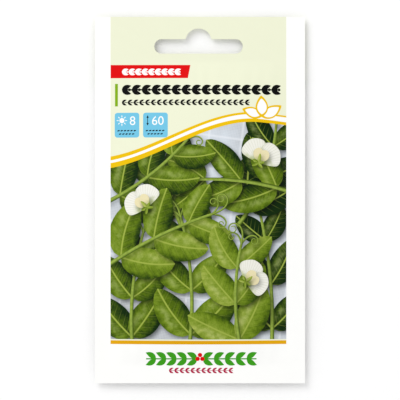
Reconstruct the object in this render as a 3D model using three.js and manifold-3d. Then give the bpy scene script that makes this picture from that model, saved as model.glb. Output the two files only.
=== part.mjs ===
// Seed packet: a flat sachet of coated paper that lies on its back, with dried peas loose inside.
// Two webs, front and back, are heat-sealed to each other all round, and a Euro hanging slot is
// punched through both in the header. +X is the packet's right, +Y its top edge, +Z its front.
// The origin is on the surface that it lies on, under the middle of its outline.
import * as THREE from 'three';
import { mergeVertices } from 'three/addons/utils/BufferGeometryUtils.js';
import Module from 'manifold-3d';

const wasm = await Module();
wasm.setup();

// The packet, in millimetres
const PACKET_WIDTH = 80;
const PACKET_HEIGHT = 139.5;
const WEB_THICKNESS = 0.3;
const SEAL_GAP = 0.1; // between the two webs where the film welds them
const LEFT_SEAL = 6.2;
const RIGHT_SEAL = 7.3;
const BOTTOM_SEAL = 7;
const HEADER = 17.5; // the sealed top strip that holds the slot

// The pocket between the seals
const POCKET = {
  left: -PACKET_WIDTH / 2 + LEFT_SEAL,
  right: PACKET_WIDTH / 2 - RIGHT_SEAL,
  bottom: -PACKET_HEIGHT / 2 + BOTTOM_SEAL,
  top: PACKET_HEIGHT / 2 - HEADER,
};

// How high the seal line stands above the table: the bulge lifts it beside the seeds
const HEADER_LIFT = 2.3;
const SEED_SIDE_LIFT = 2.6;
const LIFT_FADE_FROM = -5; // the lift falls from here up to the header

// The Euro slot: a band with round ends and a round bump in the middle of its upper edge
const SLOT_LENGTH = 33.7;
const SLOT_BAND = 5.5;
const SLOT_CENTRE_X = -0.55;
const SLOT_BOTTOM_Y = PACKET_HEIGHT / 2 - 14;
const BUMP_RADIUS = 5;
const BUMP_CENTRE_ABOVE_BOTTOM = 4.56;
const ROUND_END_STEPS = 10;
const PUNCH_REACH = 10; // above and below the origin, well past both webs

// The seeds: dried peas in one loose layer, their centres inside an oval with full corners
const PEA_COUNT = 40;
const PEA_DIAMETER = 6.6;
const PEA_SPREAD = 0.35; // the largest change of diameter, either way
const PEA_CLEARANCE = 0.15;
const PEA_FLATNESS = { least: 0.93, most: 0.98 }; // height over width
const PILE = { x: -0.5, y: -13.5, halfWidth: 19, halfHeight: 33 };
const PILE_FULLNESS = 2.6; // 2 is an ellipse, and more fills its corners
const PILE_EDGE = 3.5; // the webs stay at full height this far outside that oval
const GOLDEN_ANGLE = Math.PI * (3 - Math.sqrt(5));
const NUDGE = 2.2; // how far a pea strays at random from its place in the spiral
const PUSH_ROUNDS = 60;
const DENT_DEPTH = 0.03; // of the radius, where the skin has drawn in
const DENT_WAVES = { x: 1.7, y: 2.3, z: 1.9 }; // radians per millimetre

// The grid of each web: one cell across every seal, even cells between them
const COLUMNS = 18;
const ROWS = 30;
const RELAX_ROUNDS = 600;
const FRONT_PUFF = 0.035; // the lift of each round, from the air in the pocket
const BACK_SAG = 0.05;

const smoothstep = THREE.MathUtils.smoothstep;
const lerp = THREE.MathUtils.lerp;

// The position of a grid line, with the first and last cells as wide as the seals
function gridLine(index, count, low, high, start, end) {
  if (index === 0) return start;
  if (index === count) return end;
  return lerp(low, high, (index - 1) / (count - 2));
}

function columnX(i) {
  return gridLine(i, COLUMNS, POCKET.left, POCKET.right, -PACKET_WIDTH / 2, PACKET_WIDTH / 2);
}

function rowY(j) {
  return gridLine(j, ROWS, POCKET.bottom, POCKET.top, -PACKET_HEIGHT / 2, PACKET_HEIGHT / 2);
}

// The height of the weld between the webs: flat across the header, higher beside the seeds
function sealHeight(y) {
  return lerp(SEED_SIDE_LIFT, HEADER_LIFT, smoothstep(y, LIFT_FADE_FROM, POCKET.top));
}

// Even random numbers from 0 to 1, the same on every run
function seededRandom(seed) {
  const [factor, step, range] = [1664525, 1013904223, 2 ** 32];
  let state = seed;
  return () => {
    state = (state * factor + step) % range;
    return state / range;
  };
}

// How far out a point is in the oval of the pile: 0 in the middle and 1 on its edge
function ovalReach(across, along) {
  return (Math.abs(across) ** PILE_FULLNESS + Math.abs(along) ** PILE_FULLNESS) ** (1 / PILE_FULLNESS);
}

// Peas start on a golden-angle spiral, are nudged at random and then pushed apart
function scatterPeas() {
  const random = seededRandom(20);
  const peas = [];
  for (let k = 0; k < PEA_COUNT; k++) {
    const [across, along] = [Math.cos(k * GOLDEN_ANGLE), Math.sin(k * GOLDEN_ANGLE)];
    const reach = Math.sqrt((k + 0.5) / PEA_COUNT) / ovalReach(across, along);
    peas.push({
      x: PILE.x + PILE.halfWidth * reach * across + NUDGE * (random() - 0.5),
      y: PILE.y + PILE.halfHeight * reach * along + NUDGE * (random() - 0.5),
      radius: PEA_DIAMETER / 2 + (PEA_SPREAD / 2) * (2 * random() - 1),
      turn: [random() * Math.PI, random() * Math.PI, random() * Math.PI],
      flat: lerp(PEA_FLATNESS.least, PEA_FLATNESS.most, random()),
    });
  }
  for (let round = 0; round < PUSH_ROUNDS; round++) {
    peas.forEach((a, i) =>
      peas.slice(i + 1).forEach((b) => {
        const apart = Math.hypot(b.x - a.x, b.y - a.y);
        const overlap = a.radius + b.radius + 2 * PEA_CLEARANCE - apart;
        if (overlap <= 0) return;
        const [dx, dy] = [((b.x - a.x) / apart) * (overlap / 2), ((b.y - a.y) / apart) * (overlap / 2)];
        a.x -= dx;
        a.y -= dy;
        b.x += dx;
        b.y += dy;
      })
    );
  }
  return peas;
}

const peas = scatterPeas();
const seedFloor = WEB_THICKNESS + PEA_CLEARANCE;
const seedTop = seedFloor + PEA_DIAMETER + PEA_SPREAD + PEA_CLEARANCE;

// True over and under the layer of peas
function atSeeds(x, y) {
  const across = (x - PILE.x) / (PILE.halfWidth + PILE_EDGE);
  const along = (y - PILE.y) / (PILE.halfHeight + PILE_EDGE);
  return ovalReach(across, along) < 1;
}

// Heights of a web on the grid: fixed at the seals, drawn taut like a skin between them
function tautHeights(sealAt, pull, limit) {
  const heights = [];
  for (let i = 0; i <= COLUMNS; i++) {
    heights.push([]);
    for (let j = 0; j <= ROWS; j++) heights[i].push(sealAt(rowY(j)));
  }
  for (let round = 0; round < RELAX_ROUNDS; round++) {
    for (let i = 2; i < COLUMNS - 1; i++) {
      for (let j = 2; j < ROWS - 1; j++) {
        const around = heights[i - 1][j] + heights[i + 1][j] + heights[i][j - 1] + heights[i][j + 1];
        heights[i][j] = limit(around / 4 + pull, columnX(i), rowY(j));
      }
    }
  }
  return heights;
}

const frontHeights = tautHeights(
  (y) => sealHeight(y) + SEAL_GAP / 2,
  FRONT_PUFF,
  (z, x, y) => (atSeeds(x, y) ? seedTop : Math.min(z, seedTop))
);
const backHeights = tautHeights(
  (y) => sealHeight(y) - SEAL_GAP / 2 - WEB_THICKNESS,
  -BACK_SAG,
  (z, x, y) => (atSeeds(x, y) ? 0 : Math.max(z, 0))
);

function toSolid(geometry) {
  geometry.deleteAttribute('normal');
  geometry.deleteAttribute('uv');
  const merged = mergeVertices(geometry);
  return new wasm.Manifold(
    new wasm.Mesh({
      numProp: 3,
      vertProperties: merged.attributes.position.array,
      triVerts: new Uint32Array(merged.index.array),
    })
  );
}

function toGeometry(solid) {
  const { vertProperties, triVerts } = solid.getMesh();
  const geometry = new THREE.BufferGeometry();
  geometry.setAttribute('position', new THREE.BufferAttribute(vertProperties, 3));
  geometry.setIndex(new THREE.BufferAttribute(triVerts, 1));
  const faceted = geometry.toNonIndexed();
  faceted.computeVertexNormals();
  return faceted;
}

// The punch that cuts the slot through both webs
function slotPunch() {
  const endRadius = SLOT_BAND / 2;
  const endX = SLOT_LENGTH / 2 - endRadius;
  const bumpDrop = SLOT_BAND - BUMP_CENTRE_ABOVE_BOTTOM;
  const bumpAngle = Math.asin(bumpDrop / BUMP_RADIUS);
  const slot = new THREE.Shape();
  slot.moveTo(-endX, 0);
  slot.lineTo(endX, 0);
  slot.absarc(endX, endRadius, endRadius, -Math.PI / 2, Math.PI / 2);
  slot.absarc(0, BUMP_CENTRE_ABOVE_BOTTOM, BUMP_RADIUS, bumpAngle, Math.PI - bumpAngle);
  slot.absarc(-endX, endRadius, endRadius, Math.PI / 2, (3 * Math.PI) / 2);
  const punch = new THREE.ExtrudeGeometry(slot, {
    depth: 2 * PUNCH_REACH,
    bevelEnabled: false,
    curveSegments: ROUND_END_STEPS,
  });
  punch.translate(SLOT_CENTRE_X, SLOT_BOTTOM_Y, -PUNCH_REACH);
  return toSolid(punch);
}

const punch = slotPunch();

// A web: a thin sheet on the grid, lifted to its heights, with the slot punched out
function webGeometry(heights) {
  const sheet = new THREE.BoxGeometry(PACKET_WIDTH, PACKET_HEIGHT, WEB_THICKNESS, COLUMNS, ROWS, 1);
  const place = sheet.attributes.position;
  for (let v = 0; v < place.count; v++) {
    const i = Math.round((place.getX(v) / PACKET_WIDTH + 0.5) * COLUMNS);
    const j = Math.round((place.getY(v) / PACKET_HEIGHT + 0.5) * ROWS);
    place.setXYZ(v, columnX(i), rowY(j), heights[i][j] + WEB_THICKNESS / 2 + place.getZ(v));
  }
  return toGeometry(toSolid(sheet).subtract(punch));
}

// A dried pea: a ball with shallow dents where the skin has drawn in
function peaGeometry(pea) {
  const ball = new THREE.IcosahedronGeometry(pea.radius, 1);
  const place = ball.attributes.position;
  const point = new THREE.Vector3();
  for (let v = 0; v < place.count; v++) {
    point.fromBufferAttribute(place, v);
    const slant = DENT_WAVES.x * point.x + DENT_WAVES.y * point.y;
    const wave = Math.sin(slant) * Math.cos(DENT_WAVES.z * point.z);
    point.multiplyScalar(1 - DENT_DEPTH * (1 + wave));
    place.setXYZ(v, point.x, point.y, point.z * pea.flat);
  }
  return toGeometry(toSolid(ball));
}

const paper = { roughness: 0.5, metalness: 0 };
const frontPaper = new THREE.MeshStandardMaterial({ color: 0xf3f6dc, ...paper });
const backPaper = new THREE.MeshStandardMaterial({ color: 0xfbfbf9, ...paper });
const peaSkin = new THREE.MeshStandardMaterial({ color: 0xb9b873, roughness: 0.6, metalness: 0 });

const packet = new THREE.Group();

function addPiece(name, geometry, material) {
  const mesh = new THREE.Mesh(geometry, material);
  mesh.name = name;
  packet.add(mesh);
  return mesh;
}

addPiece('front_web', webGeometry(frontHeights), frontPaper);
addPiece('back_web', webGeometry(backHeights), backPaper);
peas.forEach((pea, k) => {
  const mesh = addPiece(`pea_${String(k + 1).padStart(2, '0')}`, peaGeometry(pea), peaSkin);
  mesh.rotation.set(...pea.turn);
  mesh.position.set(pea.x, pea.y, seedFloor + pea.radius);
});

export default packet;
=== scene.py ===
import itertools
import math
import random

import bpy
import numpy as np
from mathutils import Euler, Matrix, Vector
from mathutils.geometry import delaunay_2d_cdt
from mathutils.kdtree import KDTree


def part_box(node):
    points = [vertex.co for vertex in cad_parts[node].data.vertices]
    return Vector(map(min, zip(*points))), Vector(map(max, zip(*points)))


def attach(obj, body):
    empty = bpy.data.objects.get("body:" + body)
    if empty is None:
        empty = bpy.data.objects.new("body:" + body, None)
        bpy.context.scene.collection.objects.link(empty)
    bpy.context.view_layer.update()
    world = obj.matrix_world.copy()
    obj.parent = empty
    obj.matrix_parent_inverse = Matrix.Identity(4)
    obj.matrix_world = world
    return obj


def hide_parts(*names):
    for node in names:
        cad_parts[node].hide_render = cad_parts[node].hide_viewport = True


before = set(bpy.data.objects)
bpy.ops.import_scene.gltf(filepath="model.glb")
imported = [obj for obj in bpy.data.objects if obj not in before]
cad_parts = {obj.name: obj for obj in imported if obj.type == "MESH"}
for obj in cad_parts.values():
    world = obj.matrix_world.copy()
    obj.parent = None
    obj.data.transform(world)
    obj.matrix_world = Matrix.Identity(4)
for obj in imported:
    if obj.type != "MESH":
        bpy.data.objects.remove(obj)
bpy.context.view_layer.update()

# Camera: straight above the packet, through a long lens, as a catalogue picture is taken.
# The picture is 400 pixels wide and takes in 152.4 mm at the height of the packet's edges.
FIELD_WIDTH = 0.1524
EDGE_HEIGHT = 0.0022
LENS_MM = 135
SENSOR_MM = 36
NEAR_CLIP = 0.01

camera = bpy.data.objects.new("camera", bpy.data.cameras.new("camera"))
bpy.context.scene.collection.objects.link(camera)
bpy.context.scene.camera = camera
camera.data.lens = LENS_MM
camera.data.sensor_width = SENSOR_MM
camera.data.clip_start = NEAR_CLIP
camera.location = (0, 0, EDGE_HEIGHT + FIELD_WIDTH * LENS_MM / SENSOR_MM)

# Studio light: a pale sky all round and one soft lamp from the upper left, which throws the
# packet's shadow to the right and down. The floor is a wide sheet of near-white board.
SKY_STRENGTH = 0.81
LAMP_TURN = math.radians(128)
LAMP_ELEVATION = math.radians(44)
LAMP_DISTANCE = 1.8
LAMP_SIZE = 1.1
LAMP_WATTS = 13.0
FLOOR_WIDTH = 3.0
FLOOR_DROP = 0.00005
BOARD_WHITE, BOARD_ROUGHNESS, BOARD_SHINE = 0.97, 0.9, 0.1

sky = bpy.data.worlds.new("studio_sky")
sky.use_nodes = True
background = sky.node_tree.nodes["Background"]
background.inputs["Color"].default_value = (1, 1, 1, 1)
background.inputs["Strength"].default_value = SKY_STRENGTH
bpy.context.scene.world = sky
bpy.context.scene.view_settings.view_transform = "Standard"

lamp = bpy.data.objects.new("lamp", bpy.data.lights.new("lamp", "AREA"))
bpy.context.scene.collection.objects.link(lamp)
lamp.data.energy = LAMP_WATTS
lamp.data.size = LAMP_SIZE
lamp_direction = Vector((
    math.cos(LAMP_TURN) * math.cos(LAMP_ELEVATION),
    math.sin(LAMP_TURN) * math.cos(LAMP_ELEVATION),
    math.sin(LAMP_ELEVATION),
))
lamp.location = LAMP_DISTANCE * lamp_direction
lamp.rotation_euler = lamp_direction.to_track_quat("Z", "Y").to_euler()

bpy.ops.object.select_all(action="DESELECT")
bpy.ops.mesh.primitive_plane_add(size=FLOOR_WIDTH, location=(0, 0, -FLOOR_DROP))
floor = bpy.context.object
floor.name = "floor"
floor_board = bpy.data.materials.new("floor_board")
floor_board.use_nodes = True
board_shader = floor_board.node_tree.nodes["Principled BSDF"]
board_shader.inputs["Base Color"].default_value = (BOARD_WHITE, BOARD_WHITE, BOARD_WHITE, 1)
board_shader.inputs["Roughness"].default_value = BOARD_ROUGHNESS
board_shader.inputs["Specular IOR Level"].default_value = BOARD_SHINE
floor.data.materials.append(floor_board)

# The webs' shape: two sheets of coated paper, sealed to each other round the edge, with the
# peas between them. The front web lies taut over the peas and the back web is pressed flat
# under them. Both are worked out as heights in millimetres on an even grid.
MM_PER_METRE = 1000
PAPER_MM = 0.12
WELD_MM = 0.02
GRID_STEP = 1.0
LEFT_SEAL, RIGHT_SEAL, BOTTOM_SEAL, HEADER = 6.2, 7.3, 7.0, 17.5
HEADER_LIFT, SEED_SIDE_LIFT, LIFT_FADE_FROM = 2.3, 2.6, -5.0
PEA_CLEARANCE, LEAST_CLEARANCE = 0.21, 0.1
FRONT_PUFF, BACK_SAG = 0.0018, -0.003
RELAX_ROUNDS, SMOOTH_ROUNDS = 3000, 5
NO_LIMIT = 50.0

low_corner, high_corner = (MM_PER_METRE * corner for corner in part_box("front_web"))
LEFT, BOTTOM = low_corner.x, low_corner.y
RIGHT, TOP = high_corner.x, high_corner.y
grid_x = np.linspace(LEFT, RIGHT, round((RIGHT - LEFT) / GRID_STEP) + 1)
grid_y = np.linspace(BOTTOM, TOP, round((TOP - BOTTOM) / GRID_STEP) + 1)
across, along = np.meshgrid(grid_x, grid_y, indexing="ij")
in_pocket = ((across > LEFT + LEFT_SEAL) & (across < RIGHT - RIGHT_SEAL)
             & (along > BOTTOM + BOTTOM_SEAL) & (along < TOP - HEADER))

pea_nodes = sorted(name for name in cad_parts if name.startswith("pea_"))
pea_boxes = {name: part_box(name) for name in pea_nodes}


def smooth_step(value, start, end):
    share = np.clip((value - start) / (end - start), 0, 1)
    return share * share * (3 - 2 * share)


def seal_height(y):
    """How high the bulge lifts the seals: a little higher beside the seeds than at the header."""
    fade = smooth_step(y, LIFT_FADE_FROM, TOP - HEADER)
    return SEED_SIDE_LIFT + (HEADER_LIFT - SEED_SIDE_LIFT) * fade


def pea_surface(clearance, side, elsewhere):
    """The top (side 1) or the underside (side -1) of the layer of peas, grown by a clearance."""
    heights = np.full_like(across, elsewhere)
    for low, high in pea_boxes.values():
        middle, radius = MM_PER_METRE * (low + high) / 2, MM_PER_METRE * max(high - low) / 2
        room = (radius + clearance) ** 2 - (across - middle.x) ** 2 - (along - middle.y) ** 2
        cap = middle.z + side * np.sqrt(np.maximum(room, 0))
        heights = np.where(room > 0, side * np.maximum(side * heights, side * cap), heights)
    return heights


def mean_of_neighbours(heights):
    mean = heights.copy()
    mean[1:-1, 1:-1] = (heights[:-2, 1:-1] + heights[2:, 1:-1]
                        + heights[1:-1, :-2] + heights[1:-1, 2:]) / 4
    return mean


def drawn_taut(seal, pull, side, elsewhere):
    """A skin fixed at the seals, pulled by air or weight, and held off the peas and the table."""
    def held_off(heights, surface):
        if side > 0:
            return np.maximum(heights, surface)
        return np.clip(heights, 0, np.maximum(surface - PAPER_MM, 0))
    heights = seal.copy()
    surface = pea_surface(PEA_CLEARANCE, side, elsewhere)
    for _ in range(RELAX_ROUNDS):
        heights = np.where(in_pocket, held_off(mean_of_neighbours(heights) + pull, surface), seal)
    surface = pea_surface(LEAST_CLEARANCE, side, elsewhere)
    for _ in range(SMOOTH_ROUNDS):
        heights = np.where(in_pocket, held_off(mean_of_neighbours(heights), surface), seal)
    return heights


front_inner = drawn_taut(seal_height(along) + WELD_MM / 2, FRONT_PUFF, 1, 0)
back_outer = drawn_taut(seal_height(along) - WELD_MM / 2 - PAPER_MM, BACK_SAG, -1, NO_LIMIT)

# Faint puckers run in from the seals, where the flat weld lets the bulge go.
PUCKER_MM, PUCKER_REACH = 0.06, 5.0
PUCKER_SLANT, PUCKER_WAVES, PUCKER_WANDER, WANDER_WAVES = 0.7, 0.95, 1.8, 0.27
from_sides = np.minimum(across - LEFT - LEFT_SEAL, RIGHT - RIGHT_SEAL - across)
from_ends = np.minimum(along - BOTTOM - BOTTOM_SEAL, TOP - HEADER - along)
puckers = np.zeros_like(across)
for depth, run in ((from_sides, along + PUCKER_SLANT * across), (from_ends, across)):
    fade = np.maximum(depth, 0) / PUCKER_REACH
    wave = np.sin(PUCKER_WAVES * run + PUCKER_WANDER * np.sin(WANDER_WAVES * run))
    puckers += PUCKER_MM * fade * np.exp(1 - fade) * wave
front_inner += puckers
back_outer = np.maximum(back_outer - puckers, 0)


def heights_at(heights, x, y):
    """Reads a height grid between its points, smoothly, as a cubic B-spline does."""
    def weights(share):
        return np.array([
            (1 - share) ** 3,
            3 * share ** 3 - 6 * share ** 2 + 4,
            -3 * share ** 3 + 3 * share ** 2 + 3 * share + 1,
            share ** 3,
        ]) / 6
    padded = np.pad(heights, 2, mode="edge")
    column = (x - LEFT) / (grid_x[1] - grid_x[0])
    row = (y - BOTTOM) / (grid_y[1] - grid_y[0])
    i = np.clip(np.floor(column).astype(int), 0, len(grid_x) - 2)
    j = np.clip(np.floor(row).astype(int), 0, len(grid_y) - 2)
    column_weights, row_weights = weights(column - i), weights(row - j)
    total = np.zeros_like(x)
    for a in range(4):
        for b in range(4):
            total += column_weights[a] * row_weights[b] * padded[i + 1 + a, j + 1 + b]
    return total


# How the webs are printed: each patch of ink is an outline in millimetres on the flat sheet.
# The sheet is cut into triangles along every outline, and each triangle takes the ink that
# was laid down last, so that every printed edge is sharp at any distance.
OUTLINE_STEP = 1.0
SLOT_STEP = 0.6
SHEET_STEP = 0.95
POINT_ROOM = 0.32
NEAR_STEP = 0.4
SAME_POINT = 0.01
SHADOW_OFFSET = np.array([0.8, -1.0])
SHADOW_BLUR = 1.5
CREASE_ANGLE = math.radians(40)
patch_groups = itertools.count()


def evenly(outline, step=OUTLINE_STEP):
    """The closed outline, anticlockwise, with extra points so that no stretch exceeds the step."""
    outline = np.asarray(outline, float)
    x, y = outline[:, 0], outline[:, 1]
    if (x * np.roll(y, -1) - y * np.roll(x, -1)).sum() < 0:
        outline = outline[::-1]
    points = []
    for start, end in zip(outline, np.roll(outline, -1, axis=0)):
        count = max(1, math.ceil(np.linalg.norm(end - start) / step))
        points.extend(start + (end - start) * k / count for k in range(count))
    return np.array(points)


def arc(centre, radius, start, end, steps):
    """Points on an arc, with the angles in degrees."""
    angles = np.radians(np.linspace(start, end, steps + 1))
    return np.column_stack((centre[0] + radius * np.cos(angles), centre[1] + radius * np.sin(angles)))


def ring(centre, radius, steps=24):
    return arc(centre, radius, 0, 360 - 360 / steps, steps - 1)


def rectangle(x0, y0, x1, y1):
    return [(x0, y0), (x1, y0), (x1, y1), (x0, y1)]


def rounded_rectangle(x0, y0, x1, y1, radius):
    corners = [((x1 - radius, y0 + radius), -90), ((x1 - radius, y1 - radius), 0),
               ((x0 + radius, y1 - radius), 90), ((x0 + radius, y0 + radius), 180)]
    return np.concatenate([arc(centre, radius, turn, turn + 90, 4) for centre, turn in corners])


def bent_line(start, heading, length, bend, steps):
    """A line that leaves its start at a heading in radians and turns evenly by the bend."""
    turns = heading + bend * (np.arange(steps) + 0.5) / steps
    moves = np.column_stack((np.cos(turns), np.sin(turns))) * length / steps
    return np.concatenate(([start], start + np.cumsum(moves, axis=0)))


def blade_outline(spine, half_widths):
    """The outline of a leaf, petal, stem or tendril: its half widths set off both sides of its spine."""
    along_spine = np.gradient(spine, axis=0)
    along_spine /= np.linalg.norm(along_spine, axis=1)[:, None]
    sideways = np.column_stack((-along_spine[:, 1], along_spine[:, 0])) * half_widths[:, None]
    left, right = spine + sideways, (spine - sideways)[::-1]
    return np.concatenate((left, right[np.asarray(half_widths)[::-1] > 0]))


def lay(prints, ink, outline, spine=None, reach=1.0, tone=0.5, shadow=0.0, group=None):
    """Adds a patch of ink. Its spine and reach give the ink its run and its crossing, and it
    throws a drawn shadow on the patches below it, but not on those of its own group."""
    prints.append({
        "ink": ink, "outline": evenly(outline), "spine": spine, "reach": reach,
        "tone": tone, "shadow": shadow, "group": next(patch_groups) if group is None else group,
    })


def lay_blade(prints, ink, spine, half_widths, tone=0.5, shadow=0.0, group=None):
    outline = blade_outline(spine, half_widths)
    lay(prints, ink, outline, spine, max(half_widths), tone, shadow, group)


def run_and_crossing(points, spine, reach):
    """How far along the spine each point is, from 0 to 1, and how far to its left, in reaches."""
    steps = spine[1:] - spine[:-1]
    lengths = np.linalg.norm(steps, axis=1)
    offsets = points[:, None] - spine[None, :-1]
    share = np.clip((offsets * steps).sum(2) / lengths ** 2, 0, 1)
    away = offsets - share[..., None] * steps
    nearest = np.argmin((away ** 2).sum(2), axis=1)
    rows = np.arange(len(points))
    begun = np.concatenate(([0], np.cumsum(lengths)))
    run = (begun[nearest] + share[rows, nearest] * lengths[nearest]) / begun[-1]
    step, offset = steps[nearest], offsets[rows, nearest]
    crossed = step[:, 0] * offset[:, 1] - step[:, 1] * offset[:, 0]
    return np.column_stack((run, crossed / lengths[nearest] / reach))


def depth_inside(points, outline):
    """Each point's distance from the outline, positive inside it."""
    start, end = outline, np.roll(outline, -1, axis=0)
    step = end - start
    offset = points[:, None] - start
    share = np.clip((offset * step).sum(2) / (step ** 2).sum(1), 0, 1)
    distance = np.sqrt(((offset - share[..., None] * step) ** 2).sum(2).min(1))
    above = start[:, 1] > points[:, None, 1]
    above_next = end[:, 1] > points[:, None, 1]
    slope = step[:, 0] / np.where(step[:, 1] == 0, 1, step[:, 1])
    hit = start[:, 0] + (points[:, None, 1] - start[:, 1]) * slope
    crossings = ((above != above_next) & (points[:, None, 0] < hit)).sum(1)
    return np.where(crossings % 2 == 1, distance, -distance)


def slot_outline():
    """The Euro slot: a band with round ends and a round bump in the middle of its upper edge."""
    length, band, centre_x, bottom = 33.7, 5.5, -0.55, TOP - 14
    bump_radius, bump_rise = 5.0, 4.56
    end_x, end_radius = length / 2 - band / 2, band / 2
    bump_turn = math.degrees(math.asin((band - bump_rise) / bump_radius))
    return np.concatenate((
        arc((centre_x + end_x, bottom + end_radius), end_radius, -90, 90, 12),
        arc((centre_x, bottom + bump_rise), bump_radius, bump_turn, 180 - bump_turn, 20),
        arc((centre_x - end_x, bottom + end_radius), end_radius, 90, 270, 12),
    ))


slot = evenly(slot_outline(), SLOT_STEP)
sheet_edge = evenly(rectangle(LEFT, BOTTOM, RIGHT, TOP))


def cut_sheet(prints):
    """The flat sheet in triangles, cut along every outline and through evenly spread points.
    Returns its points, its triangles' corners, and the number of the patch on top of each."""
    outlines = [sheet_edge, slot] + [patch["outline"] for patch in prints]
    near = np.concatenate([evenly(outline, NEAR_STEP) for outline in outlines])
    tree = KDTree(len(near))
    for k, point in enumerate(near):
        tree.insert((*point, 0), k)
    tree.balance()
    points, faces = [], []
    for outline in outlines:
        faces.append(list(range(len(points), len(points) + len(outline))))
        points.extend(Vector(point) for point in outline)
    row_step = SHEET_STEP * math.sqrt(3) / 2
    for j in range(1, int((TOP - BOTTOM) / row_step)):
        stagger = 0.25 if j % 2 else 0.75
        for i in range(int((RIGHT - LEFT) / SHEET_STEP)):
            point = Vector((LEFT + (i + stagger) * SHEET_STEP, BOTTOM + j * row_step))
            if tree.find((*point, 0))[2] > POINT_ROOM:
                points.append(point)
    # A triangle is kept if it lies inside outline 0, the sheet's edge, and outside outline 1, the slot.
    flat, _, triangles, _, _, owners = delaunay_2d_cdt(points, [], faces, 1, SAME_POINT, True)
    kept = [(t, max(own)) for t, own in zip(triangles, owners) if 0 in own and 1 not in own]
    owner = np.array([owner for _, owner in kept])
    top_patch = np.where(owner == 0, len(prints), owner - 2)
    used, corners = np.unique(np.array([t for t, _ in kept]), return_inverse=True)
    return np.array(flat)[used], corners.reshape(-1, 3), top_patch


def run_and_light(prints, places, patch_of):
    """For every corner of every triangle: its run and crossing in its own patch, and the light
    that the shadows drawn over it leave."""
    run, light = np.zeros((len(places), 2)), np.ones(len(places))
    group = np.array([patch["group"] for patch in prints] + [-1])[patch_of]
    for k, patch in enumerate(prints):
        own = patch_of == k
        if patch["spine"] is not None and own.any():
            run[own] = run_and_crossing(places[own], patch["spine"], patch["reach"])
        if patch["shadow"]:
            cast = patch["outline"] + SHADOW_OFFSET
            low, high = cast.min(0) - SHADOW_BLUR, cast.max(0) + SHADOW_BLUR
            under = ((patch_of < k) & (group != patch["group"])
                     & (places > low).all(1) & (places < high).all(1))
            depth = depth_inside(places[under], cast)
            light[under] *= 1 - patch["shadow"] * smooth_step(depth, -SHADOW_BLUR, SHADOW_BLUR)
    return run, light


def printed_sheet(name, prints, inks, heights, outward):
    """A web: cut into triangles along its prints, lifted to its heights, inked and made paper-thick."""
    flat, corners, top_patch = cut_sheet(prints)
    if outward < 0:
        corners = corners[:, ::-1]
    places = np.column_stack((flat, heights_at(heights, flat[:, 0], flat[:, 1]))) / MM_PER_METRE
    mesh = bpy.data.meshes.new(name)
    mesh.from_pydata(places.tolist(), [], corners.tolist())

    names = ["white", *sorted({patch["ink"] for patch in prints} - {"white"}), "inside"]
    for ink in names:
        mesh.materials.append(inks[ink])
    patch_ink = np.array([names.index(patch["ink"]) for patch in prints] + [0])
    mesh.polygons.foreach_set("material_index", patch_ink[top_patch].astype(np.int32))
    tone = np.array([patch["tone"] for patch in prints] + [0.5])[top_patch]
    mesh.attributes.new("tone", "FLOAT", "FACE").data.foreach_set("value", tone.astype(np.float32))
    run, light = run_and_light(prints, flat[corners.ravel()], np.repeat(top_patch, 3))
    mesh.uv_layers.new(name="run").data.foreach_set("uv", run.ravel().astype(np.float32))
    mesh.attributes.new("light", "FLOAT", "CORNER").data.foreach_set("value", light.astype(np.float32))

    web = bpy.data.objects.new(name, mesh)
    bpy.context.scene.collection.objects.link(web)
    bpy.ops.object.select_all(action="DESELECT")
    web.select_set(True)
    bpy.context.view_layer.objects.active = web
    thickness = web.modifiers.new("thickness", "SOLIDIFY")
    thickness.thickness = PAPER_MM / MM_PER_METRE
    thickness.offset = -1
    thickness.material_offset = thickness.material_offset_rim = len(names)
    bpy.ops.object.modifier_apply(modifier="thickness")
    bpy.ops.object.shade_smooth_by_angle(angle=CREASE_ANGLE)
    return web


# Inks: every ink lies on the same satin paper, so they share its grain and its sheen and differ
# only in colour. Flat inks are slightly mottled, as solid tints are on coated paper.
PAPER_ROUGHNESS, ROUGHNESS_SPREAD = 0.52, 0.05
PAPER_SHINE = 0.09
GRAIN_SCALE, GRAIN_HEIGHT, GRAIN_STRENGTH = 1500, 0.00002, 0.6
MOTTLE_SCALE, MOTTLE_DARKNESS = 260, 0.6
PICTURE_SHADE = "2a342c"
LEAF_TONES = ("0a2602", "2f4703", "536c08", "6f881d", "889c36", "aab657")


def colour(code):
    """A linear colour from a hexadecimal screen colour."""
    parts = [int(code[k:k + 2], 16) / 255 for k in (0, 2, 4)]
    return [p / 12.92 if p <= 0.04045 else ((p + 0.055) / 1.055) ** 2.4 for p in parts] + [1]


def add_node(material, kind, inputs=None, **settings):
    node = material.node_tree.nodes.new("ShaderNode" + kind)
    for name, value in settings.items():
        setattr(node, name, value)
    for socket, value in (inputs or {}).items():
        if isinstance(value, bpy.types.NodeSocket):
            material.node_tree.links.new(value, node.inputs[socket])
        else:
            node.inputs[socket].default_value = value
    return node


def calculate(material, operation, first, second=0.0, third=0.0):
    inputs = {0: first, 1: second, 2: third}
    return add_node(material, "Math", inputs, operation=operation).outputs[0]


def apart(material, value, middle):
    """How far a value is from a middle one, either way."""
    return calculate(material, "ABSOLUTE", calculate(material, "SUBTRACT", value, middle))


def blend_colours(material, share, first, second, mode="MIX"):
    node = add_node(material, "Mix", {0: share, 6: first, 7: second}, data_type="RGBA", blend_type=mode)
    return node.outputs[2]


def ranged(material, value, start, end, low=0.0, high=1.0):
    """A value, turned smoothly from the range between start and end to that between low and high."""
    inputs = {"Value": value, "From Min": start, "From Max": end, "To Min": low, "To Max": high}
    return add_node(material, "MapRange", inputs, interpolation_type="SMOOTHSTEP").outputs[0]


def noise(material, place, scale, detail):
    inputs = {"Vector": place, "Scale": scale, "Detail": detail}
    return add_node(material, "TexNoise", inputs).outputs[0]


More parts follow.
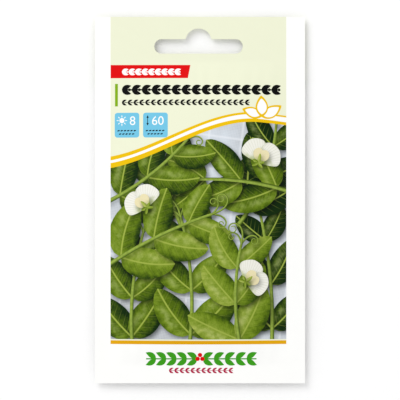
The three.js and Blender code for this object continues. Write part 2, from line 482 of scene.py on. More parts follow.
def varied(material, cloud, low, high):
    """A noise, which mostly lies between 0.3 and 0.7, spread over a range of its own."""
    return ranged(material, cloud, 0.3, 0.7, low, high)


def set_relief(material, shader, height, distance, strength, roughness):
    """Gives a shader its fine relief and its roughness."""
    inputs = {"Height": height, "Distance": distance, "Strength": strength}
    bump = add_node(material, "Bump", inputs)
    material.node_tree.links.new(bump.outputs[0], shader.inputs["Normal"])
    material.node_tree.links.new(roughness, shader.inputs["Roughness"])


def satin_paper(name):
    """A material with the paper's sheen and grain, for an ink's colour to be linked to."""
    material = bpy.data.materials.new(name)
    material.use_nodes = True
    shader = material.node_tree.nodes["Principled BSDF"]
    place = add_node(material, "TexCoord").outputs["Object"]
    grain = noise(material, place, GRAIN_SCALE, 3)
    smooth, rough = PAPER_ROUGHNESS - ROUGHNESS_SPREAD, PAPER_ROUGHNESS + ROUGHNESS_SPREAD
    roughness = varied(material, grain, smooth, rough)
    set_relief(material, shader, grain, GRAIN_HEIGHT, GRAIN_STRENGTH, roughness)
    shader.inputs["Specular IOR Level"].default_value = PAPER_SHINE
    return material, shader, place


def flat_ink(name, code, mottle=0.05):
    material, shader, place = satin_paper(name)
    share = ranged(material, noise(material, place, MOTTLE_SCALE, 4), 0.35, 0.65, 0, mottle)
    darker = [part * MOTTLE_DARKNESS for part in colour(code)[:3]] + [1]
    mixed = blend_colours(material, share, colour(code), darker)
    material.node_tree.links.new(mixed, shader.inputs["Base Color"])
    return material


def run_and_across(material):
    """How far along its patch a place is, and how far across it from the middle."""
    run_map = add_node(material, "UVMap", uv_map="run")
    parts = add_node(material, "SeparateXYZ", {0: run_map.outputs[0]})
    return parts.outputs[0], parts.outputs[1]


def shaded(material, drawn):
    """The drawn colour, darkened where the picture's own shadows fall."""
    light = add_node(material, "Attribute", attribute_name="light").outputs["Fac"]
    deep = blend_colours(material, 1.0, drawn, colour(PICTURE_SHADE), "MULTIPLY")
    return blend_colours(material, light, deep, drawn)


def leaf_ink(name, tones, vein, sheen):
    """A leaf: a paler midrib and side veins, swollen between them. It curves away to its rim, and
    one half catches a soft sheen."""
    vein_pairs, vein_sweep, vein_strength = 8.0, 1.5, 0.26
    sheen_across, sheen_along, sheen_strength = 0.42, 0.45, 0.26
    material, shader, place = satin_paper(name)
    run, crossing = run_and_across(material)
    side = calculate(material, "ABSOLUTE", crossing)
    cloud = noise(material, place, 420, 5)
    speck = noise(material, place, 2200, 2)

    phase = calculate(material, "SUBTRACT", calculate(material, "MULTIPLY", run, vein_pairs),
                      calculate(material, "MULTIPLY", side, vein_sweep))
    ripple = calculate(material, "PINGPONG", phase, 0.5)
    side_vein = calculate(material, "MULTIPLY", ranged(material, ripple, 0.09, 0.02),
                          ranged(material, side, 1.0, 0.2, 0.0, vein_strength))
    veins = calculate(material, "MAXIMUM", side_vein, ranged(material, side, 0.07, 0.03))

    slant = ranged(material, crossing, -0.8, 0.7, -0.2, 0.17)
    swell = ranged(material, ripple, 0.0, 0.5, -0.045, 0.04)
    rim = ranged(material, side, 0.55, 1.0, 0.0, -0.22)
    clouds, specks = varied(material, cloud, -0.09, 0.09), varied(material, speck, -0.05, 0.05)
    level = add_node(material, "Attribute", attribute_name="tone").outputs["Fac"]
    for change in (slant, swell, rim, clouds, specks):
        level = calculate(material, "ADD", level, change)
    ramp = add_node(material, "ValToRGB", {0: level})
    ramp.color_ramp.elements[0].color = colour(tones[0])
    ramp.color_ramp.elements[1].color = colour(tones[-1])
    for k, tone in enumerate(tones[1:-1], 1):
        ramp.color_ramp.elements.new(k / (len(tones) - 1)).color = colour(tone)

    gleam = calculate(material, "MULTIPLY",
                      ranged(material, apart(material, crossing, sheen_across), 0.34, 0.0),
                      ranged(material, apart(material, run, sheen_along), 0.42, 0.05))
    gleam = calculate(material, "MULTIPLY", gleam, varied(material, cloud, 0.0, sheen_strength))
    lit = blend_colours(material, gleam, ramp.outputs[0], colour(sheen))
    veined = blend_colours(material, veins, lit, colour(vein))
    material.node_tree.links.new(shaded(material, veined), shader.inputs["Base Color"])
    return material


def stem_ink(name, dark, pale):
    """A stem or tendril: round, so darker to both sides of its line."""
    lit_line = 0.25
    material, shader, place = satin_paper(name)
    _, crossing = run_and_across(material)
    roundness = ranged(material, apart(material, crossing, lit_line), 1.1, 0.1)
    patches = varied(material, noise(material, place, 900, 3), 0.7, 1.0)
    share = calculate(material, "MULTIPLY", roundness, patches)
    drawn = blend_colours(material, share, colour(dark), colour(pale))
    material.node_tree.links.new(shaded(material, drawn), shader.inputs["Base Color"])
    return material


def petal_ink(name, base, petal, vein):
    """A petal: greenish at its foot, with fine veins that fan out to its rim."""
    fan_start, fan_veins, vein_strength, rim_strength = 0.25, 5.0, 0.35, 0.25
    material, shader, place = satin_paper(name)
    run, crossing = run_and_across(material)
    fan = calculate(material, "DIVIDE", crossing, calculate(material, "ADD", run, fan_start))
    stripe = calculate(material, "PINGPONG", calculate(material, "MULTIPLY", fan, fan_veins), 0.5)
    veins = calculate(material, "MULTIPLY", ranged(material, stripe, 0.12, 0.02), vein_strength)
    ragged = varied(material, noise(material, place, 500, 3), -0.1, 0.1)
    foot = ranged(material, calculate(material, "ADD", run, ragged), 0.05, 0.6)
    rim = ranged(material, calculate(material, "ABSOLUTE", crossing), 0.75, 1.0, 0, rim_strength)
    drawn = blend_colours(material, foot, colour(base), colour(petal))
    drawn = blend_colours(material, veins, drawn, colour(vein))
    drawn = blend_colours(material, rim, drawn, colour(vein))
    material.node_tree.links.new(shaded(material, drawn), shader.inputs["Base Color"])
    return material


def linen_ink(name, ground, thread, check):
    """The picture's ground: pale linen with its weave and faint woven checks."""
    turn, thread_pitch, check_pitch = math.radians(8), 0.0003, 0.0062
    weave_strength, check_strength = 0.22, 0.45
    material, shader, place = satin_paper(name)
    turned = add_node(material, "Mapping", {"Vector": place, "Rotation": (0, 0, turn)}).outputs[0]
    parts = add_node(material, "SeparateXYZ", {0: turned})
    clouds = varied(material, noise(material, place, 60, 4), 0.0, 1.0)
    drawn = blend_colours(material, clouds, colour(ground), colour(thread))
    for axis in (0, 1):
        weave = calculate(material, "PINGPONG", parts.outputs[axis], thread_pitch)
        weave = ranged(material, weave, 0.0, thread_pitch, 0.0, weave_strength)
        drawn = blend_colours(material, weave, drawn, colour(check))
        line = calculate(material, "PINGPONG", parts.outputs[axis], check_pitch)
        line = ranged(material, line, 0.0006, 0.0002, 0.0, check_strength)
        drawn = blend_colours(material, line, drawn, colour(check))
    material.node_tree.links.new(shaded(material, drawn), shader.inputs["Base Color"])
    return material


inks = {
    "white": flat_ink("paper_white", "fafaf8", 0.01),
    "inside": flat_ink("paper_inside", "f2f2ee", 0.02),
    "cream": flat_ink("ink_cream", "eaedd2", 0.01),
    "red": flat_ink("ink_red", "dd0003"),
    "crimson": flat_ink("ink_crimson", "ae2146"),
    "black": flat_ink("ink_black", "020202"),
    "lime": flat_ink("ink_lime", "81ac0c"),
    "green": flat_ink("ink_green", "3b9a18"),
    "sky_blue": flat_ink("ink_sky_blue", "72c3e1"),
    "gold": flat_ink("ink_gold", "eabf00"),
    "orange": flat_ink("ink_orange", "e0a405"),
    "soil": flat_ink("ink_soil", "724d27", 0.5),
    "leaf": leaf_ink("ink_leaf", LEAF_TONES, "9aab46", "c6cf8e"),
    "stem": stem_ink("ink_stem", "3f560a", "97ae48"),
    "petal": petal_ink("ink_petal", "9fae5c", "edece2", "9ba27c"),
    "wing": petal_ink("ink_wing", "8fa04a", "e9dfb4", "b79f62"),
    "linen": linen_ink("ink_linen", "a7aaad", "cdd6df", "e9ecf1"),
}

# The picture on the front: pea vines on pale linen. Stems climb through it, with broad leaves
# in pairs, curling tendrils and white blossoms. All of it is ink, printed on the front web.
PICTURE_LEFT, PICTURE_RIGHT, PICTURE_BOTTOM, PICTURE_HIGHEST = -34.05, 32.85, -52.9, 34.0
EDGE_START, EDGE_RISE, EDGE_DIP, EDGE_POINTS = 12.5, 19.5, 3.0, 70
EDGE_BAND_HALF, UPPER_LINE = 1.3, 2.7
PANEL_OVERLAP = 1.6
BLEED = 1.0
STRIP_BOTTOM, FOOT_TOP = -54.1, -54.2
BAR_BOTTOM, BAR_TOP = -54.8, -53.4
LEAF_SHADOW, STEM_SHADOW = 0.84, 0.45
# Each compound leaf's start, heading, length, bend, leaflet length and tone, from back to front
COMPOUND_LEAVES = [
    ((27, -60), 1.5, 56, 0.3, 20, 0.05),
    ((-5, -14), 2.05, 44, -0.5, 21, 0.08),
    ((14, -10), 0.9, 42, 0.6, 21, 0.07),
    ((-25, -62), 1.7, 50, -0.4, 21, 0.34),
    ((38, 2), 2.8, 46, 0.45, 21, 0.42),
    ((-38, -2), 0.42, 42, 0.45, 21, 0.38),
    ((-5, -62), 1.4, 56, 0.42, 22, 0.52),
    ((-38, -27), 0.62, 48, -0.3, 22, 0.54),
    ((17, -62), 1.85, 46, -0.5, 22, 0.6),
]
# Each blossom's place, heading and size
BLOSSOMS = [((-20, -3), 2.2, 9), ((22, 14), 1.2, 9.5), ((17, -31), 0.5, 9)]
RANDOM_START = 11
draw = random.Random(RANDOM_START)


def picture_top(x):
    """The height of the picture's upper edge, which sweeps up to the right."""
    share = (x - PICTURE_LEFT) / (PICTURE_RIGHT - PICTURE_LEFT)
    return EDGE_START + EDGE_RISE * smooth_step(share, -0.1, 0.85) - EDGE_DIP * share ** 3


def lay_leaf(prints, foot, heading, length, width, bend, tone, ink="leaf", shadow=LEAF_SHADOW, point=0.62):
    """A leaflet, broadest below its middle. The higher its point, the sharper its tip."""
    steps = 16
    share = np.linspace(0, 1, steps + 1)
    half_widths = width / 2 * np.sin(np.pi * share ** 0.86) ** point
    half_widths[0] = width * 0.02
    half_widths[-1] = 0
    lay_blade(prints, ink, bent_line(foot, heading, length, bend, steps), half_widths, tone, shadow)


def lay_tendril(prints, start, heading, length, curl, thickness=0.8):
    """A tendril: it tapers and winds ever tighter. It is laid in short stretches."""
    steps, stretch, group = 44, 11, next(patch_groups)
    share = np.linspace(0, 1, steps + 1)
    turns = heading + curl * share ** 2.2
    moves = np.column_stack((np.cos(turns), np.sin(turns)))[:-1] * length / steps
    spine = np.concatenate(([start], start + np.cumsum(moves, axis=0)))
    half_widths = thickness * (0.5 - 0.28 * share)
    for first in range(0, steps, stretch):
        part = slice(first, first + stretch + 1)
        lay_blade(prints, "stem", spine[part], half_widths[part], shadow=STEM_SHADOW, group=group)


def lay_petal(prints, ink, foot, heading, length, width, bend, shadow):
    """A petal: narrow at its foot and broadest near its rim, where its points lie closest together."""
    steps, fine_steps = 18, 40
    share = np.sin(np.linspace(0, np.pi / 2, steps + 1))
    line = bent_line(foot, heading, length, bend, fine_steps)
    places = range(fine_steps + 1)
    spine = np.column_stack([np.interp(share * fine_steps, places, line[:, axis]) for axis in (0, 1)])
    half_widths = width / 2 * np.sin(np.pi * share ** 1.55) ** 0.6
    half_widths[0] = width * 0.05
    half_widths[-1] = 0
    lay_blade(prints, ink, spine, half_widths, shadow=shadow)


def lay_blossom(prints, place, heading, size):
    """A pea blossom: a broad standard of two lobes, two wings folded over the keel, and sepals."""
    for turn, bend in ((0.56, 0.25), (-0.56, -0.25)):
        lay_petal(prints, "petal", place, heading + turn, size, size * 1.02, bend, 0.5)
    for turn, bend in ((0.42, -0.35), (-0.42, 0.35)):
        lay_petal(prints, "wing", place, heading + turn, size * 0.62, size * 0.42, bend, 0.6)
    lay_leaf(prints, place, heading, size * 0.4, size * 0.14, 0.3, tone=0.95, shadow=0.5)
    for turn in (1.2, -1.2, 2.2, -2.2):
        lay_leaf(prints, place, heading + turn, size * 0.27, size * 0.14, 0.3, tone=0.7, shadow=0.5)


def lay_compound_leaf(prints, start, heading, length, bend, leaflet, tone):
    """A pea's leaf: three pairs of leaflets along a rib, which ends in three tendrils."""
    steps = 30
    rib = bent_line(np.array(start, float), heading, length, bend, steps)
    for share, size in ((0.2, 1.0), (0.5, 0.92), (0.8, 0.8)):
        foot = rib[int(share * steps)]
        for side in (1, -1):
            turn = heading + bend * share + side * draw.uniform(0.72, 1.0)
            long = leaflet * size * draw.uniform(0.92, 1.08)
            wide = leaflet * size * draw.uniform(0.5, 0.58)
            curve = -side * draw.uniform(0.1, 0.55)
            lay_leaf(prints, foot, turn, long, wide, curve, tone + draw.uniform(-0.1, 0.12))
    lay_blade(prints, "stem", rib, np.linspace(0.85, 0.5, steps + 1), shadow=STEM_SHADOW)
    for turn, reach, curl in ((0.5, 0.26, 7), (-0.45, 0.3, -8), (0.05, 0.42, 9)):
        lay_tendril(prints, rib[-1], heading + bend + turn, length * reach, curl)


def in_picture(patch):
    """True where a patch of the vines reaches into the part of the picture that shows."""
    x, y = patch["outline"].T
    return (x.max() > PICTURE_LEFT and x.min() < PICTURE_RIGHT
            and y.max() > PICTURE_BOTTOM and (y < picture_top(x)).any())


vines = []
for compound_leaf in COMPOUND_LEAVES:
    lay_compound_leaf(vines, *compound_leaf)
for place, heading, size in BLOSSOMS:
    lay_blossom(vines, np.array(place, float), heading, size)

# The linen lies under the vines, and the panels round the picture lie over them.
front_prints = []
panel_left, panel_right = PICTURE_LEFT - PANEL_OVERLAP, PICTURE_RIGHT + PANEL_OVERLAP
lay(front_prints, "linen", rectangle(panel_left, STRIP_BOTTOM, panel_right, PICTURE_HIGHEST))
front_prints += [patch for patch in vines if in_picture(patch)]

edge_x = np.linspace(panel_left, panel_right, EDGE_POINTS)
edge = np.column_stack((edge_x, picture_top(edge_x)))
header_corners = [(panel_right, TOP + BLEED), (panel_left, TOP + BLEED)]
lay(front_prints, "cream", np.concatenate((edge, header_corners)))
lay_blade(front_prints, "white", edge + (0, EDGE_BAND_HALF), np.full(EDGE_POINTS, EDGE_BAND_HALF))
lay_blade(front_prints, "gold", edge, np.linspace(0.95, 0.55, EDGE_POINTS))
lay_blade(front_prints, "gold", edge + (0, UPPER_LINE), np.linspace(0.75, 0.3, EDGE_POINTS))
lay(front_prints, "cream", rectangle(panel_left, STRIP_BOTTOM, panel_right, PICTURE_BOTTOM))
lay(front_prints, "white", rectangle(LEFT - BLEED, BOTTOM - BLEED, RIGHT + BLEED, FOOT_TOP))
lay(front_prints, "orange", rectangle(panel_left, BAR_BOTTOM, panel_right, BAR_TOP))
for x0, x1 in ((LEFT - BLEED, PICTURE_LEFT), (PICTURE_RIGHT, RIGHT + BLEED)):
    lay(front_prints, "white", rectangle(x0, BOTTOM - 2 * BLEED, x1, TOP + 2 * BLEED))

# The panel above the picture: a red label with a slanted end, a lime bar beside two rows of
# leaf ornament, and two blue tiles with a sun and a height on them.
ORNAMENT_LEFT = -29.7
LABEL_RIGHT, LABEL_SLANT, LABEL_BOTTOM, LABEL_TOP = -4.6, 0.95, 46.35, 51.4
TILE_LEFT, TILE_WIDTH, TILE_BOTTOM, TILE_TOP, TILE_ROUND = (-32.45, -21.6), 9.4, 23.7, 33.15, 1.0
GRAIN_ROWS, GRAIN_PITCH = ((6, 26.2), (5, 24.95)), 1.24
SUN, SUN_RADIUS, RAY_START, RAY_LENGTH = np.array((-29.7, 30.2)), 0.95, 1.25, 0.75
ARROW_X, ARROW_LOW, ARROW_HIGH = -19.875, 28.2, 32.2
HEAD_LENGTH, HEAD_HALF, SHAFT_HALF, SHAFT_GAP = 1.0, 0.475, 0.125, 0.7
LIME_BAR = (-32.35, 35.6, -31.25, 44.2)
FIGURES_Y, FIGURES_HEIGHT = 28.5, 3.3


def lay_flat_leaf(prints, ink, foot, heading, length, width, bend=0.2, point=0.8):
    """A leaf of ornament, in one flat ink and with no shadow."""
    lay_leaf(prints, foot, heading, length, width, bend, 0.5, ink, 0, point)


def lay_garland(prints, ink, start, end, y, pitch, leaf, width, stem, spread, berry=0.0):
    """A row of ornament: pairs of pointed leaves along a straight stem, with a berry in each fork."""
    heading = 0 if end > start else math.pi
    span = end - start - math.copysign(0.8 * leaf, end - start)
    count = round(abs(span) / pitch)
    lay(prints, ink, rectangle(min(start, end), y - stem / 2, max(start, end), y + stem / 2))
    for k in range(count + 1):
        foot = np.array((start + span * k / count, y))
        for side in (1, -1):
            lay_flat_leaf(prints, ink, foot, heading + side * spread, leaf, width, -side * 0.6, 0.95)
        if berry:
            lay(prints, ink, ring(foot + (math.cos(heading) * leaf * 0.72, 0), berry, 12))


def lay_figures(prints, ink, ground, text, place, height):
    """Plain numbers, from the outlines of the built-in typeface, with their holes laid over them."""
    steps = 5
    letters = bpy.data.curves.new("figures", "FONT")
    letters.body = text
    figures = bpy.data.objects.new("figures", letters)
    bpy.context.scene.collection.objects.link(figures)
    bpy.ops.object.select_all(action="DESELECT")
    figures.select_set(True)
    bpy.context.view_layer.objects.active = figures
    bpy.ops.object.convert(target="CURVE")
    outlines = []
    for spline in figures.data.splines:
        knots = spline.bezier_points
        line = []
        for a, b in zip(knots, [*knots[1:], knots[0]]):
            for t in np.arange(steps) / steps:
                line.append(a.co * (1 - t) ** 3 + 3 * a.handle_right * t * (1 - t) ** 2
                            + 3 * b.handle_left * t ** 2 * (1 - t) + b.co * t ** 3)
        outlines.append(np.array([point[:2] for point in line]))
    bpy.data.objects.remove(figures)
    tall = max(outline[:, 1].max() for outline in outlines)
    outlines = [outline * height / tall + place for outline in outlines]
    areas = [(o[:, 0] * np.roll(o[:, 1], -1) - o[:, 1] * np.roll(o[:, 0], -1)).sum() for o in outlines]
    solid = math.copysign(1, max(areas, key=abs))
    for outline, area in sorted(zip(outlines, areas), key=lambda pair: -pair[1] * solid):
        lay(prints, ink if area * solid > 0 else ground, outline)


lay(front_prints, "red", [(PICTURE_LEFT, LABEL_BOTTOM), (LABEL_RIGHT, LABEL_BOTTOM),
                          (LABEL_RIGHT + LABEL_SLANT, LABEL_TOP), (PICTURE_LEFT, LABEL_TOP)])
lay_garland(front_prints, "white", ORNAMENT_LEFT, -7.5, y=48.75, pitch=2.65, leaf=2.75, width=1.15,
            stem=0.24, spread=0.68, berry=0.32)
lay(front_prints, "lime", rectangle(*LIME_BAR))
lay_garland(front_prints, "black", ORNAMENT_LEFT, 30.4, y=41.9, pitch=3.75, leaf=3.95, width=1.75,
            stem=0.55, spread=0.7, berry=0.55)
lay_garland(front_prints, "black", ORNAMENT_LEFT, 18.8, y=37.05, pitch=2.2, leaf=2.15, width=0.8,
            stem=0.2, spread=0.8, berry=0.22)

# A small sprig beside them, outlined in gold: each leaf is laid in gold and then, smaller, in white.
sprig_foot = np.array((23.4, 31.6))
for turn, length, width in ((0.42, 8.8, 4.6), (2.66, 8.0, 4.2), (1.5, 8.2, 4.8)):
    inner = sprig_foot + np.array((math.cos(turn), math.sin(turn)))
    lay_flat_leaf(front_prints, "gold", sprig_foot, turn, length, width)
    lay_flat_leaf(front_prints, "white", inner, turn, length - 2.2, width - 1.2)

for x0 in TILE_LEFT:
    tile = rounded_rectangle(x0, TILE_BOTTOM, x0 + TILE_WIDTH, TILE_TOP, TILE_ROUND)
    lay(front_prints, "sky_blue", tile)
    for count, y in GRAIN_ROWS:
        start = x0 + TILE_WIDTH / 2 - count * GRAIN_PITCH / 2
        for k in range(count):
            foot = np.array((start + GRAIN_PITCH * k, y), float)
            lay_flat_leaf(front_prints, "black", foot, 0.25, 1.05, 0.5, bend=0, point=0.62)
lay(front_prints, "white", ring(SUN, SUN_RADIUS))
for turn in np.radians(np.arange(0, 360, 45)):
    ray = SUN + RAY_START * np.array((math.cos(turn), math.sin(turn)))
    lay_blade(front_prints, "white", bent_line(ray, turn, RAY_LENGTH, 0, 2), np.array((0.16, 0.16, 0.1)))
lay_figures(front_prints, "white", "sky_blue", "8", (-26.8, FIGURES_Y), FIGURES_HEIGHT)
lay(front_prints, "black", rectangle(ARROW_X - SHAFT_HALF, ARROW_LOW + SHAFT_GAP,
                                     ARROW_X + SHAFT_HALF, ARROW_HIGH - SHAFT_GAP))
for tip, base in ((ARROW_HIGH, ARROW_HIGH - HEAD_LENGTH), (ARROW_LOW, ARROW_LOW + HEAD_LENGTH)):
    lay(front_prints, "black", [(ARROW_X - HEAD_HALF, base), (ARROW_X + HEAD_HALF, base), (ARROW_X, tip)])
lay_figures(front_prints, "white", "sky_blue", "60", (-18.4, FIGURES_Y), FIGURES_HEIGHT)

# Below the picture: two green garlands that meet over a fine crimson one.
for start, end in ((-1.2, -20.5), (1.2, 21.5)):
    lay_garland(front_prints, "green", start, end, y=-60.4, pitch=3.9, leaf=4.6, width=2.1,
                stem=0.5, spread=0.85)
for x, y in ((-0.9, -60.4), (0.9, -60.4), (0, -58.9)):
    lay(front_prints, "red", ring((x, y), 0.85, 14))
lay_garland(front_prints, "crimson", -11.8, 12.6, y=-64.9, pitch=2.05, leaf=2.05, width=0.75,
            stem=0.18, spread=0.8)

front_web = printed_sheet("front_web_printed", front_prints, inks, front_inner + PAPER_MM, 1)
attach(front_web, "root")
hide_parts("front_web")

# The back web: the same paper, sealed to the front web, with the same slot punched through it.
# It is printed with a sowing calendar, a sowing depth and ruled lines to write on. These are
# laid as they are read, from behind, and then mirrored.
BAND_BOTTOM, BAND_LINE = 45.4, 1.0
BACK_GARLAND = dict(y=49.8, pitch=3.0, leaf=3.2, width=1.4, stem=0.4, spread=0.75)
PRINT_REACH = 30.6
MONTHS, CALENDAR_LEFT, CALENDAR_STEP, CALENDAR_TOP, CALENDAR_ROW = 12, -23.4, 4.7, 40.6, 4.6
MONTH_DROP, MONTH_HEIGHT, HALF_DIGIT = 2.9, 2.1, 0.75
# Where each row's bar starts and ends, in months, and its ink, from the top
CALENDAR_SPANS = ((3, 5, "orange"), (5, 8, "lime"), (6, 9, "red"))
SPAN_END_GAP, SPAN_SIDE_GAP, SPAN_ROUND = 0.4, 1.2, 0.8
ROW_LEAF_LEFT, ROW_LEAF_DROP = 4.6, 0.8
ROW_LINE_HALF, COLUMN_LINE_HALF, RULED_LINE_HALF = 0.08, 0.06, 0.09
RULED_LINES, RULED_TOP, RULED_PITCH, SHORT_LINES, SHORT_REACH = 8, -12.0, 5.2, 2, 14

back_prints = []
lay(back_prints, "cream", rectangle(LEFT - BLEED, BAND_BOTTOM, RIGHT + BLEED, TOP + BLEED))
lay(back_prints, "green", rectangle(LEFT - BLEED, BAND_BOTTOM - BAND_LINE, RIGHT + BLEED, BAND_BOTTOM))
lay_garland(back_prints, "green", -22, -2, **BACK_GARLAND)
lay_garland(back_prints, "green", 22, 2, **BACK_GARLAND)
lay(back_prints, "red", ring((0, 49.8), 1.0, 16))

for month in range(MONTHS):
    digits = str(month + 1)
    x = CALENDAR_LEFT + CALENDAR_STEP * (month + 0.5) - HALF_DIGIT * len(digits)
    lay_figures(back_prints, "black", "white", digits, (x, CALENDAR_TOP - MONTH_DROP), MONTH_HEIGHT)
for row, (first, last, ink) in enumerate(CALENDAR_SPANS):
    y = CALENDAR_TOP - CALENDAR_ROW * (row + 1)
    lay(back_prints, ink, rounded_rectangle(
        CALENDAR_LEFT + CALENDAR_STEP * first + SPAN_END_GAP, y - CALENDAR_ROW + SPAN_SIDE_GAP,
        CALENDAR_LEFT + CALENDAR_STEP * last - SPAN_END_GAP, y - SPAN_SIDE_GAP, SPAN_ROUND,
    ))
    foot = np.array((CALENDAR_LEFT - ROW_LEAF_LEFT, y - CALENDAR_ROW / 2 - ROW_LEAF_DROP))
    for side in (1, -1):
        turn = 1.57 + side * (0.35 + 0.3 * row)
        lay_flat_leaf(back_prints, ink, foot, turn, 1.9 + 0.4 * row, 1.0, bend=0, point=0.9)
calendar_right = CALENDAR_LEFT + CALENDAR_STEP * MONTHS
calendar_bottom = CALENDAR_TOP - CALENDAR_ROW * (len(CALENDAR_SPANS) + 1)
for y in np.linspace(CALENDAR_TOP, calendar_bottom, len(CALENDAR_SPANS) + 2):
    lay(back_prints, "black", rectangle(-PRINT_REACH, y - ROW_LINE_HALF, calendar_right, y + ROW_LINE_HALF))
for x in np.linspace(CALENDAR_LEFT, calendar_right, MONTHS + 1):
    left, right = x - COLUMN_LINE_HALF, x + COLUMN_LINE_HALF
    lay(back_prints, "black", rectangle(left, calendar_bottom, right, CALENDAR_TOP))

# The sowing depth: three seeds in the soil, a seedling over one of them, and plain figures.
SOIL_TOP, SOIL_BOTTOM = 7.0, -4
SEED_Y, SEED_RADIUS = 1.2, 1.9
ARROWS = (
    ("white", (8.5, 6.9), (8.5, 1.4)),
    ("black", (1.5, 10.5), (16.5, 10.5)),
    ("black", (16.5, 10.5), (1.5, 10.5)),
)
soil_x = np.linspace(-PRINT_REACH, PRINT_REACH, 40)
soil_y = SOIL_TOP + 0.35 * np.sin(1.3 * soil_x) + 0.2 * np.sin(3.1 * soil_x)
soil = np.column_stack((soil_x, soil_y))
soil_corners = [(PRINT_REACH, SOIL_BOTTOM), (-PRINT_REACH, SOIL_BOTTOM)]
lay(back_prints, "soil", np.concatenate((soil, soil_corners)))
for x in (-18, 0, 18):
    lay(back_prints, "lime", ring((x, SEED_Y), SEED_RADIUS))
    lay(back_prints, "cream", ring((x - 0.5, SEED_Y + 0.6), 0.5, 12))
lay_blade(back_prints, "green", bent_line((-18, 2.6), 1.4, 12.5, 0.35, 10), np.linspace(0.5, 0.25, 11))
for y, turn, length in ((8.6, 0.5, 4.6), (9.0, 2.5, 4.8), (11.8, 0.7, 3.8), (12.2, 2.4, 4.0)):
    lay_flat_leaf(back_prints, "green", np.array((-17.3, y)), turn, length, 2.3)
for ink, tail, tip in ARROWS:
    tail, tip = np.array(tail), np.array(tip)
    way = (tip - tail) / np.linalg.norm(tip - tail)
    aside = 0.8 * np.array((-way[1], way[0]))
    lay_blade(back_prints, ink, np.array((tail, tip - way)), np.array((0.14, 0.14)))
    lay(back_prints, ink, [tip, tip - 1.6 * way + aside, tip - 1.6 * way - aside])
lay_figures(back_prints, "white", "soil", "5", (10.2, 2.6), 2.8)
lay_figures(back_prints, "black", "white", "8", (8.0, 11.6), 2.8)

# Ruled lines to write on. The last two stop short of a sprig in the corner.
for line in range(RULED_LINES):
    y = RULED_TOP - RULED_PITCH * line
    right = PRINT_REACH if line < RULED_LINES - SHORT_LINES else SHORT_REACH
    lay(back_prints, "lime", rectangle(-PRINT_REACH, y - RULED_LINE_HALF, right, y + RULED_LINE_HALF))
lay_compound_leaf(back_prints, (30, -62), 1.9, 24, 0.5, 8.5, 0.55)
for patch in back_prints:
    patch["outline"] = evenly(patch["outline"] * (-1, 1))
    if patch["spine"] is not None:
        patch["spine"] = patch["spine"] * (-1, 1)

back_web = printed_sheet("back_web_printed", back_prints, inks, back_outer, -1)
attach(back_web, "root")
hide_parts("back_web")

# The peas: dried seed, loose in one layer between the webs. As each dried, its skin drew in to
# dents and fine wrinkles. The small oval scar is where it was joined to its plant.
PEA_FORMS = 3
# The size of each kind of hollow on the first form, how much it grows per form, and its depth
HOLLOWS = (("dents", 0.75, 0.13, 0.16), ("wrinkles", 0.2, 0.03, 0.035))
DRAWN_IN_SHARE = 0.8
SCAR_ACROSS, SCAR_ALONG, SCAR_STEP = 0.16, 0.3, 0.035


def mottled_skin(name, pale, deep, spot):
    """A dried skin: pale and deep patches, fine spots and a slight grain."""
    grain_height, grain_strength, spot_strength = 0.00004, 0.7, 0.5
    material = bpy.data.materials.new(name)
    material.use_nodes = True
    shader = material.node_tree.nodes["Principled BSDF"]
    place = add_node(material, "TexCoord").outputs["Object"]
    patches = noise(material, place, 420, 4)
    spots = noise(material, place, 2600, 3)
    skin = blend_colours(material, ranged(material, patches, 0.35, 0.65), colour(deep), colour(pale))
    spotted = ranged(material, spots, 0.55, 0.72, 0, spot_strength)
    skin = blend_colours(material, spotted, skin, colour(spot))
    material.node_tree.links.new(skin, shader.inputs["Base Color"])
    roughness = varied(material, patches, 0.5, 0.62)
    set_relief(material, shader, spots, grain_height, grain_strength, roughness)
    return material


pea_skins = (
    mottled_skin("dried_pea_skin", "b3b169", "8a9348", "6d6a35"),
    mottled_skin("dried_pea_scar", "c9c08d", "a09a66", "5c5230"),
)

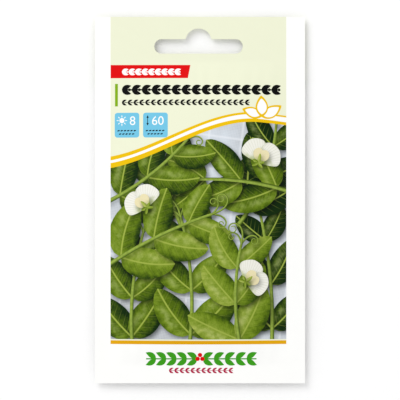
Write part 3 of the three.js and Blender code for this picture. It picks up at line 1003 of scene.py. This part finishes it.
pea_forms = []
for form in range(PEA_FORMS):
    bpy.ops.object.select_all(action="DESELECT")
    bpy.ops.mesh.primitive_ico_sphere_add(subdivisions=5, radius=1)
    pea = bpy.context.object
    for kind, size, growth, depth in HOLLOWS:
        clouds = bpy.data.textures.new(f"pea_{kind}_{form}", "CLOUDS")
        clouds.noise_scale = size + growth * form
        clouds.noise_depth = 1
        drawn_in = pea.modifiers.new(kind, "DISPLACE")
        drawn_in.texture = clouds
        drawn_in.strength = depth
        drawn_in.mid_level = DRAWN_IN_SHARE
        bpy.ops.object.modifier_apply(modifier=kind)
    for skin in pea_skins:
        pea.data.materials.append(skin)
    bpy.ops.object.mode_set(mode="EDIT")
    bpy.context.tool_settings.mesh_select_mode = (False, False, True)
    bpy.ops.mesh.select_all(action="DESELECT")
    bpy.ops.object.mode_set(mode="OBJECT")
    for face in pea.data.polygons:
        x, y, z = face.center
        face.select = z > 0 and math.hypot(x / SCAR_ALONG, y / SCAR_ACROSS) < 1
    bpy.ops.object.mode_set(mode="EDIT")
    bpy.ops.mesh.inset(thickness=SCAR_STEP, depth=-SCAR_STEP)
    bpy.ops.object.mode_set(mode="OBJECT")
    for face in pea.data.polygons:
        face.material_index = int(face.select)
    bpy.ops.object.shade_smooth()
    pea_forms.append(pea)

for k, name in enumerate(pea_nodes):
    low, high = pea_boxes[name]
    pea = bpy.data.objects.new(name + "_dried", pea_forms[k % PEA_FORMS].data.copy())
    bpy.context.scene.collection.objects.link(pea)
    turns = [draw.uniform(0, math.tau) for _ in range(3)]
    pea.data.transform(Euler(turns).to_matrix().to_4x4())
    corners = np.array([vertex.co for vertex in pea.data.vertices])
    middle, reach = (corners.max(0) + corners.min(0)) / 2, (corners.max(0) - corners.min(0)) / 2
    fit = Matrix.Diagonal((*(np.array(high - low) / 2 / reach), 1))
    pea.data.transform(Matrix.Translation((low + high) / 2) @ fit @ Matrix.Translation(-Vector(middle)))
    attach(pea, "root")
    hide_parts(name)
for pea in pea_forms:
    bpy.data.objects.remove(pea)
